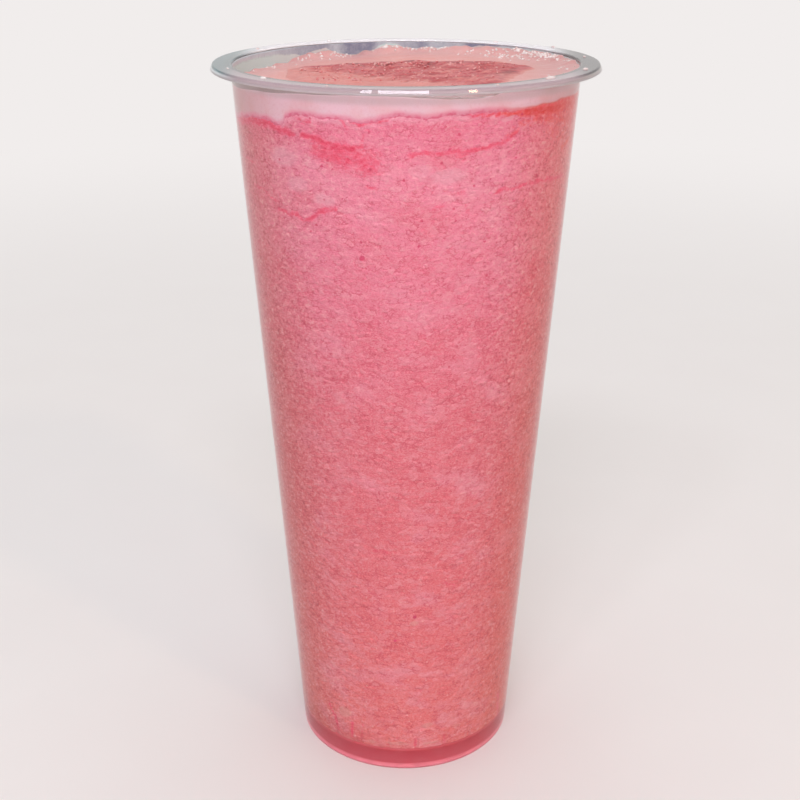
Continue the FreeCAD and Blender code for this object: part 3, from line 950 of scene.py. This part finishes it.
def slush_bands():
    """The slush behind the wall, from the floor to under the froth, as closed bands."""
    pieces = []
    back_veins, back_warm, back_pores, back_milky = back_of_the_cup(11)
    pores = [(degrees, height, radius, radius, 1.0) for degrees, height, radius in PORES + back_pores]
    side_rows = 150
    profile = [(0.0, 0.0), (0.5, 0.0), (0.9, 0.0), *((1.0, k / side_rows) for k in range(side_rows + 1)),
               (0.95, 1.0), (0.85, 1.0), (0.7, 1.0), (0.35, 1.0), (0.0, 1.0)]
    for letter, low, high in zip("abc", BANDS, BANDS[1:]):
        piece = turned("slush_band_" + letter, profile, 600)
        angle, station, share = polar(piece)
        on_side = station > 0.999
        line = froth_line(angle)
        last = high == BANDS[-1]
        top = line + 1.6 * MM if last else high * MM
        z = low * MM + share * (top - low * MM)
        # crumbs stand back behind the froth, and the bands' ends behind the side
        side_radius = slush_side_radius(angle, z) - froth_reach * smooth(z - line, 0, 0.9 * MM)
        x, y = xy(angle, np.where(on_side, side_radius, station * (side_radius - 0.4 * MM)))
        if last:
            under_top = np.minimum(slush_top(x, y), froth_top(x, y)) - 0.9 * MM
            z = np.where((share > 0.999) & ~on_side, under_top, z)
        move_to(piece, x, y, z)
        sharpen(piece, on_side & ((share < 0.001) | (share > 0.999)))

        wobble = [noise.noise(Vector((a * 500, b * 500, c * 700))) for a, b, c in zip(x, y, z)]
        bent_z = z + np.array(wobble) * 0.5 * MM
        near_froth = smooth(z, line - 2.2 * MM, line + 0.4 * MM)
        set_shares(
            piece,
            near_froth=near_froth * (1 - coral_side(angle, -1.1)),
            syrup=veins_at(angle, bent_z, VEINS + back_veins),
            warm_syrup=veins_at(angle, bent_z, WARM_VEINS + back_warm),
            milky=spots_at(angle, bent_z, MILKY + back_milky),
            pores=spots_at(angle, z, pores))
        pieces.append(piece)
    return pieces


def slush_crown():
    """The crown of slush that stands through the froth, with its crumbly relief."""
    rows, widest, depth = 105, 0.86, 12 * MM
    stations = [(row * widest / rows, 1.0) for row in range(rows, -1, -1)]
    piece = turned("slush_crown", [(0.0, 0.0), (widest, 0.0)] + stations, 460)
    angle, station, level = polar(piece)
    x, y = xy(angle, station * mouth_inner_radius)
    # crumbs in wavy folds that lie across the cup
    bend = y + 2.8 * MM * lumps(x, y, 9 * MM, 31) + 0.9 * MM * lumps(x, y, 3.5 * MM, 32)
    relief = (0.26 * lumps(0.8 * x, bend, 3.2 * MM, 21) + 0.22 * lumps(x, bend, 1.6 * MM, 22)
              + 0.14 * lumps(1.1 * x, y, 0.9 * MM, 23) + 0.07 * lumps(x, y, 0.5 * MM, 24))
    ridges = 1 - np.abs(lumps(0.55 * x, bend, 3.4 * MM, 25)) * 2
    relief = relief + 0.20 * ridges
    fade = 1 - 0.8 * smooth(station / crown_share(angle), 0.75, 1.15)
    top = slush_top(x, y) + relief * MM * fade - 0.25 * MM
    on_top = level > 0.5
    move_to(piece, x, y, np.where(on_top, top, cup_height - depth))
    above_froth = top - froth_top(x, y)
    set_shares(
        piece,
        # shares for the crown's painted shade and highlight, its edge and its back's painted shade
        hollow=np.clip(0.5 - 1.1 * relief, 0, 1),
        crown_edge=np.where(on_top, 1 - smooth(above_froth, 0.0, 0.45 * MM), 0),
        froth_veil=smooth(-0.8 * x - 0.9 * y, 4 * MM, 22 * MM),
        crown_back=smooth(y, 6 * MM, 16 * MM) * (1 - smooth(np.abs(x), 20 * MM, 28 * MM)))
    return piece


# ---- Froth ----
def froth_layer():
    """The froth: a layer over the slush, deepest at the wall, with its crown-shaped gap filled by the
    slush that stands through it."""
    under = [(0.0, 0.0), (0.3, 0.0), (0.6, 0.0), (0.8, 0.0), (0.9, 0.0), (0.97, 0.0)]
    side_rows, top_rows = 14, 60
    side = [(1.0, row / side_rows) for row in range(side_rows + 1)]
    top = [(1 - row / top_rows, 1.0) for row in range(1, top_rows + 1)]
    piece = turned("froth_layer", under + side + top, 480)
    angle, station, share = polar(piece)
    on_side = station > 0.999
    line, contact = froth_line(angle), froth_contact(angle)
    side_z = line + share * (contact - line)
    # the froth's lower edge thins out behind the crumbs of slush
    side_radius = wall_inside(side_z) + froth_reach * smooth(share, -0.25, 0.55)
    x, y = xy(angle, np.where(on_side, side_radius, station * (wall_inside(contact) + froth_reach)))
    top_z = froth_top(x, y)
    under_z = np.minimum(slush_top(x, y) - 0.6 * MM, top_z - 0.5 * MM)
    z = np.where(on_side, side_z, np.where(share > 0.5, top_z, under_z))
    move_to(piece, x, y, z)
    right = coral_side(angle, -1.15)
    line_reach = (2.4 - 1.2 * right) * MM
    # where the rim overhangs the froth's side, for its painted shade
    under_rim = smooth(z, cup_height - 5.2 * MM, cup_height - 3.0 * MM)
    set_shares(
        piece,
        thin=np.where(on_side, 0.0, 1 - smooth(station, 0.62, 0.93)),
        line_share=np.where(on_side, 1 - smooth(z - line, 0.0, line_reach), 0.0),
        open_top=np.where(on_side | (share < 0.5), 0.0, 1.0),
        coral_side=right,
        under_rim=np.where(on_side, under_rim, 0.0))
    return piece


# How high the milky smear reaches on the wall above the froth: (degrees, millimetres under the top of
# the rim). Above it the plastic carries only a painted grey reflection.
SMEAR_TOP = [
    (-180, 0.5), (-150, 0.6), (-120, 1.0), (-95, 1.4), (-80, 2.3), (-66, 2.8), (-58, 1.2), (-30, 0.5),
    (30, 0.4), (62, 0.6), (66, 1.4), (80, 2.1), (90, 1.9), (94, 0.6), (99, 0.7), (103, 2.5),
    (112, 3.6), (118, 2.8), (121, 1.0), (125, 1.4), (131, 2.6), (136, 1.6), (142, 0.8), (160, 0.5),
    (180, 0.5),
]
# How pale that painted reflection is: (degrees, 0 for bluish grey to 1 for pale grey).
MIST_TONE = [
    (-180, 1.0), (-120, 0.8), (-60, 0.6), (0, 0.7), (40, 0.7), (52, 0.6), (56, 0.15), (66, 0.10),
    (69, 0.65), (80, 0.65), (84, 0.20), (87, 0.35), (91, 0.55), (96, 0.9), (100, 0.7), (103, 0.10),
    (112, 0.10), (117, 0.75), (122, 0.30), (130, 0.40), (138, 0.62), (150, 0.85), (180, 1.0),
]


def froth_smears():
    """Thin film on the inside of the wall, from the froth's surface up to the mouth's rounding."""
    bm = bmesh.new()
    levels = 9
    for level in range(levels + 1):
        ring = bmesh.ops.create_circle(bm, cap_ends=False, segments=420, radius=1.0)
        for v in ring["verts"]:
            v.co.z = level / levels
    bmesh.ops.bridge_loops(bm, edges=list(bm.edges))
    piece = finished("froth_smears", bm)
    angle, _, share = polar(piece)
    low = froth_contact(angle) - 0.4 * MM
    high = np.maximum(cup_height - mouth_rounding - 0.05 * MM, low + 0.2 * MM)
    milky_top = np.maximum(cup_height - round_the_cup(SMEAR_TOP, angle) * MM, low + 0.6 * MM)
    z = low + share * (high - low)
    move_to(piece, *xy(angle, wall_inside(z) - smear_inset), z)
    film = piece.modifiers.new("film", "SOLIDIFY")
    film.thickness = 0.08 * MM
    film.offset = 0
    set_shares(
        piece,
        cover=1 - smooth((z - low) / (milky_top - low), 0.45, 1.0),
        # painted reflection of darker surroundings, stronger at the back and the left
        mist=0.30 + 0.50 * smooth(np.maximum(np.sin(angle), -np.cos(angle)), 0.25, 0.75),
        mist_tone=round_the_cup(MIST_TONE, angle))
    return piece


# Where bubbles stand, as they are scattered: (degrees, spread, share of the mouth's radius, spread,
# count, size in millimetres).
BUBBLES = [
    (44, 9, 0.88, 0.04, 84, 0.36), (29, 9, 0.955, 0.018, 90, 0.42), (80, 5, 0.965, 0.012, 30, 0.42),
    (97, 3, 0.972, 0.010, 22, 0.45), (122, 6, 0.93, 0.04, 26, 0.40), (148, 12, 0.90, 0.05, 18, 0.35),
    (-30, 25, 0.93, 0.04, 22, 0.4), (-140, 25, 0.93, 0.04, 20, 0.4), (-90, 180, 0.93, 0.05, 60, 0.3),
]


def froth_bubbles():
    """Bubbles standing half out of the froth, mostly near the wall."""
    rng = random.Random(5)
    places = []
    for degrees, degrees_spread, out, out_spread, count, size in BUBBLES:
        for _ in range(count):
            angle = math.radians((rng.gauss(degrees, degrees_spread) + 180) % 360 - 180)
            x, y = xy(angle, min(rng.gauss(out, out_spread), 0.985) * mouth_inner_radius)
            across = abs(rng.gauss(size, 0.5 * size)) * MM + 0.18 * MM
            places.append(((x, y, froth_top(x, y)), 0.0, (across, across, 0.9 * across)))
    return scattered("froth_bubbles", ball(10, 6), places)


# ---- Drops and crumbs ----
# Drops of melt on the flange: (degrees, radius from the axis, length, width, height) in millimetres.
FLANGE_DROPS = [
    (-43, 43.9, 3.4, 1.6, 0.45), (-21, 44.6, 1.9, 1.3, 0.40), (-136, 44.0, 1.9, 1.2, 0.40),
    (34, 46.4, 1.2, 0.8, 0.35), (-64, 44.8, 0.9, 0.7, 0.28), (-160, 44.2, 1.0, 0.7, 0.25),
    (8, 44.6, 1.1, 0.8, 0.30), (57, 44.4, 1.6, 0.9, 0.30), (118, 44.6, 1.0, 0.8, 0.28),
    (150, 44.5, 1.4, 0.8, 0.30), (-112, 45.2, 0.8, 0.6, 0.25),
]


def flange_drops():
    """Drops of melt standing on the flange, each drawn out round the cup."""
    places = []
    for degrees, radius, length, width, height in FLANGE_DROPS:
        angle = math.radians(degrees)
        size = (length * MM, width * MM, 2 * height * MM)
        places.append(((*xy(angle, radius * MM), cup_height), angle + math.pi / 2, size))
    return scattered("flange_drops", ball(20, 12), places)


def ice_crumbs():
    """Loose crumbs of ice on the crown, one kind of chipped grain at many sizes and turns."""
    rng = random.Random(8)
    grain = bmesh.new()
    bmesh.ops.create_icosphere(grain, subdivisions=1, radius=0.5)
    for v in grain.verts:
        v.co *= rng.uniform(0.7, 1.15)
    places = []
    for _ in range(260):
        angle = rng.uniform(-math.pi, math.pi)
        limit = (crown_share(angle) - 0.02) * mouth_inner_radius
        x, y = xy(angle, math.sqrt(rng.random()) * limit)
        across = rng.uniform(0.4, 1.0) * MM
        size = (across, across * rng.uniform(0.6, 1), across * rng.uniform(0.45, 0.8))
        places.append(((x, y, slush_top(x, y)), rng.uniform(0, math.tau), size))
    return scattered("ice_crumbs", grain, places, smooth_faces=False)


# ---- Build the drink ----
ice, water = material(blended_ice), material(foam_water)
# Each piece, its material and slot, and the frame's node that it stands for.
for piece, finish, slot, node in [
        (moulded_cup(), material(clear_polypropylene), "cup_plastic", "cup"),
        (recess_lining(), material(satin_recess), "cup_plastic", None),
        (flange_haze(), material(moulding_haze), "cup_plastic", None),
        *((band, ice, "slush", "slush") for band in slush_bands()),
        (slush_crown(), material(open_slush_crown), "slush", None),
        (froth_layer(), material(milk_froth), "froth", "froth"),
        (froth_smears(), material(froth_smear), "froth", None),
        (ice_crumbs(), material(ice_crumb), "slush", None),
        (froth_bubbles(), water, "froth", None),
        (flange_drops(), water, "slush", None)]:
    piece.data.materials.append(finish)
    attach(piece, "root")
    if node:
        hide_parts(node)

# ---- Floor, light and camera ----
bm = bmesh.new()
bmesh.ops.create_grid(bm, x_segments=2, y_segments=2, size=6.0)
board = finished("board", bm)
board.data.materials.append(material(pale_board))

# Softboxes, all aimed at the cup's middle: (name, place, size, watts, colour).
SOFTBOXES = [
    ("front_softbox", (-0.03, -1.05, 1.15), (0.62, 0.22), 7.2, "#F4F6FF"),
    ("side_window", (-0.45, -0.95, 1.12), (0.13, 0.20), 1.3, "#F4F6FF"),
    ("warm_lamp", (0.78, -0.84, 1.06), (0.11, 0.13), 1.5, "#FFDDB8"),
    ("top_softbox", (0.0, 0.35, 1.3), (1.0, 0.8), 3, "#FFFFFF"),
    ("left_fill", (-1.3, -0.5, 0.6), (0.6, 0.9), 0.5, "#FFE9DC"),
    ("right_fill", (1.2, -0.5, 0.5), (0.6, 0.9), 0.8, "#FFC89A"),
]
middle = Vector((0, 0, 0.10))
for name, place, size, power, colour in SOFTBOXES:
    lamp = bpy.data.lights.new(name, "AREA")
    lamp.shape = "RECTANGLE"
    lamp.size, lamp.size_y = size
    lamp.energy = power
    lamp.color = srgb(colour)[:3]
    softbox = bpy.data.objects.new(name, lamp)
    softbox.location = place
    softbox.rotation_euler = (middle - Vector(place)).to_track_quat("-Z", "Y").to_euler()
    bpy.context.scene.collection.objects.link(softbox)

world = bpy.data.worlds.new("pale_room")
world.use_nodes = True
bpy.context.scene.world = world
room = world.node_tree
room.nodes.clear()
ambient = add(room, "Background", {"Color": "#FFFFFF", "Strength": 0.50})
backdrop = add(room, "Background", {"Color": BACKDROP, "Strength": 1.0})
mixed = add(room, "MixShader", {0: seen_directly(room), 1: ambient, 2: backdrop})
add(room, "OutputWorld", {"Surface": mixed})

camera = bpy.data.cameras.new("camera")
camera.lens = 58.67
camera.sensor_width = 36.0
viewpoint = bpy.data.objects.new("camera", camera)
viewpoint.location = (0, -0.32524, 0.22879)
viewpoint.rotation_euler = (math.radians(90 - 21.93), 0, math.radians(0.255))
bpy.context.scene.collection.objects.link(viewpoint)
bpy.context.scene.camera = viewpoint
bpy.context.scene.view_settings.view_transform = "Standard"
